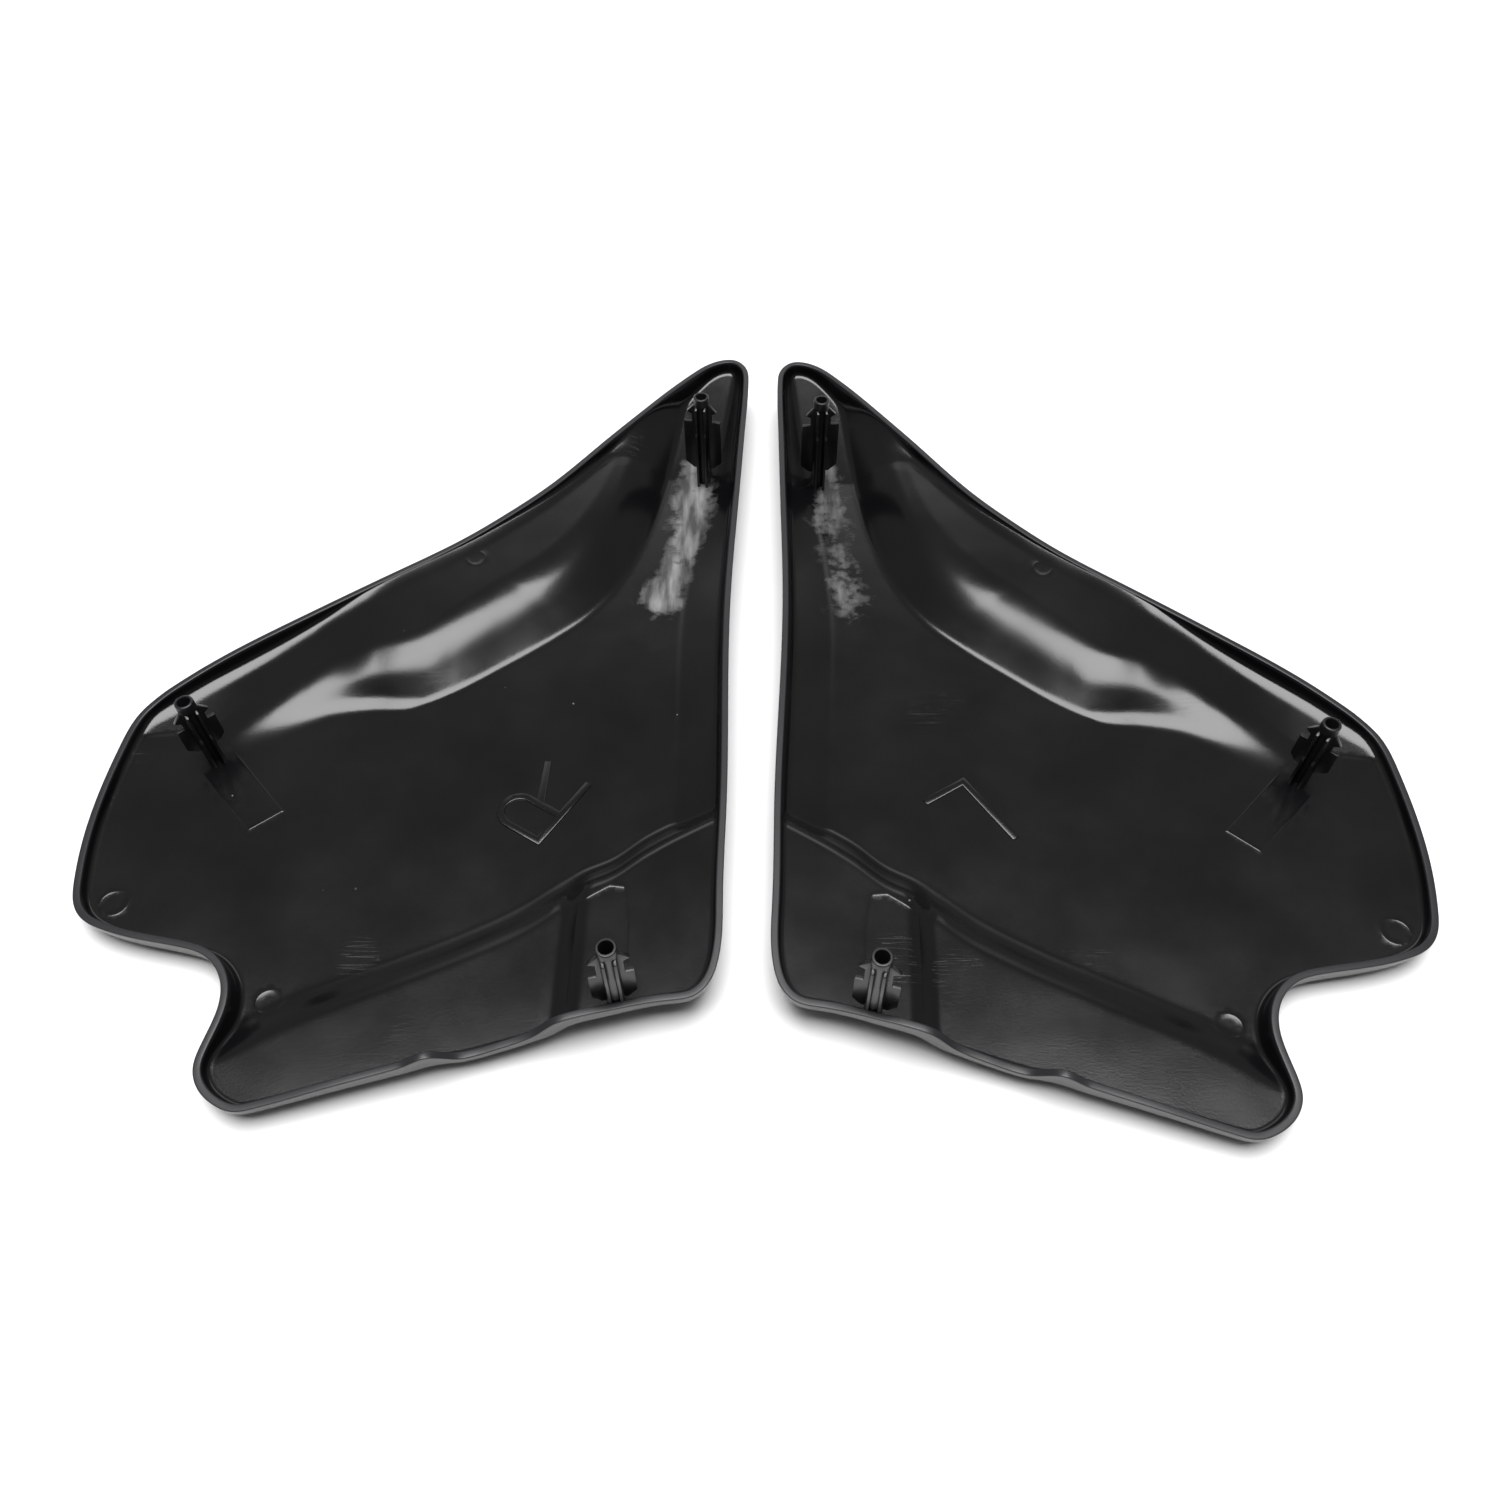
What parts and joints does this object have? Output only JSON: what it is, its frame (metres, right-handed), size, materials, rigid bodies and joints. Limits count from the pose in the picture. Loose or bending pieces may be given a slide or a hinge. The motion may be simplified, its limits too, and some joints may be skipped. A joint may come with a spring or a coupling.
{
  "type": "motorcycle side cover pair",
  "caption": "Pair of black moulded plastic side covers, mirror images, inner faces up, each with a raised rim and hollow push-in posts with snap barbs for rubber grommets.",
  "frame": {"origin": "centre of the pair's box, on the plane that the outer faces rest on", "axes": "+X from the right-hand cover to the left-hand cover, +Y towards the pointed ends, +Z along the posts towards their tips"},
  "size_m": [0.5633, 0.4454, 0.057],
  "materials": {
    "black_abs": "glossy",
    "post_abs": "satin"
  },
  "bodies": {
    "right_cover": {"right_shell": "black_abs", "right_top_post": "post_abs", "right_side_post": "post_abs", "right_lower_post": "post_abs", "right_mark": "black_abs"},
    "left_cover": {"left_shell": "black_abs", "left_top_post": "post_abs", "left_side_post": "post_abs", "left_lower_post": "post_abs", "left_mark": "black_abs"}
  },
  "joints": [
    {"name": "left_cover_lift", "type": "slide", "parent": "right_cover", "child": "left_cover", "axis": [0, 0, 1], "range_m": [0, 0.25]}
  ]
}
